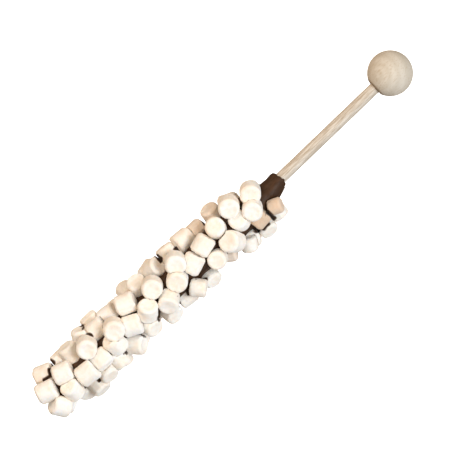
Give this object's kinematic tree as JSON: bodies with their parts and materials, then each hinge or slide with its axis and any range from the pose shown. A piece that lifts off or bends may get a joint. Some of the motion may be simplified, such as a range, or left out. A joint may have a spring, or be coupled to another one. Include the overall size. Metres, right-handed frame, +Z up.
{
  "type": "marshmallow stirring stick",
  "caption": "Wooden stick with a ball knob at one end; the rest is dipped in chocolate and covered all round with small marshmallows, for stirring a hot drink.",
  "frame": {"origin": "middle of the part's footprint, on the table that it lies on", "axes": "+X along the stick towards the ball knob, +Z up from the table"},
  "size_m": [0.1742, 0.025, 0.0235],
  "materials": {
    "stick_wood": "matte",
    "ball_wood": "satin",
    "chocolate": "satin",
    "marshmallow": "matte"
  },
  "bodies": {
    "root": {"stick": "stick_wood", "ball_knob": "ball_wood", "chocolate_coat": "chocolate", "marshmallow_01": "marshmallow", "marshmallow_02": "marshmallow", "marshmallow_03": "marshmallow", "marshmallow_04": "marshmallow", "marshmallow_05": "marshmallow", "marshmallow_06": "marshmallow", "marshmallow_07": "marshmallow", "marshmallow_08": "marshmallow", "marshmallow_09": "marshmallow", "marshmallow_10": "marshmallow", "marshmallow_11": "marshmallow", "marshmallow_12": "marshmallow", "marshmallow_13": "marshmallow", "marshmallow_14": "marshmallow", "marshmallow_15": "marshmallow", "marshmallow_16": "marshmallow", "marshmallow_17": "marshmallow", "marshmallow_18": "marshmallow", "marshmallow_19": "marshmallow", "marshmallow_20": "marshmallow", "marshmallow_21": "marshmallow", "marshmallow_22": "marshmallow", "marshmallow_23": "marshmallow", "marshmallow_24": "marshmallow", "marshmallow_25": "marshmallow", "marshmallow_26": "marshmallow", "marshmallow_27": "marshmallow", "marshmallow_28": "marshmallow", "marshmallow_29": "marshmallow", "marshmallow_30": "marshmallow", "marshmallow_31": "marshmallow", "marshmallow_32": "marshmallow", "marshmallow_33": "marshmallow", "marshmallow_34": "marshmallow", "marshmallow_35": "marshmallow", "marshmallow_36": "marshmallow", "marshmallow_37": "marshmallow", "marshmallow_38": "marshmallow", "marshmallow_39": "marshmallow", "marshmallow_40": "marshmallow", "marshmallow_41": "marshmallow", "marshmallow_42": "marshmallow", "marshmallow_43": "marshmallow", "marshmallow_44": "marshmallow", "marshmallow_arc_01": "marshmallow", "marshmallow_arc_02": "marshmallow", "marshmallow_arc_03": "marshmallow", "marshmallow_arc_04": "marshmallow", "marshmallow_arc_05": "marshmallow", "marshmallow_arc_06": "marshmallow", "marshmallow_arc_07": "marshmallow", "marshmallow_arc_08": "marshmallow", "marshmallow_arc_09": "marshmallow", "marshmallow_arc_10": "marshmallow", "marshmallow_arc_11": "marshmallow", "marshmallow_arc_12": "marshmallow", "marshmallow_arc_13": "marshmallow"}
  },
  "joints": []
}
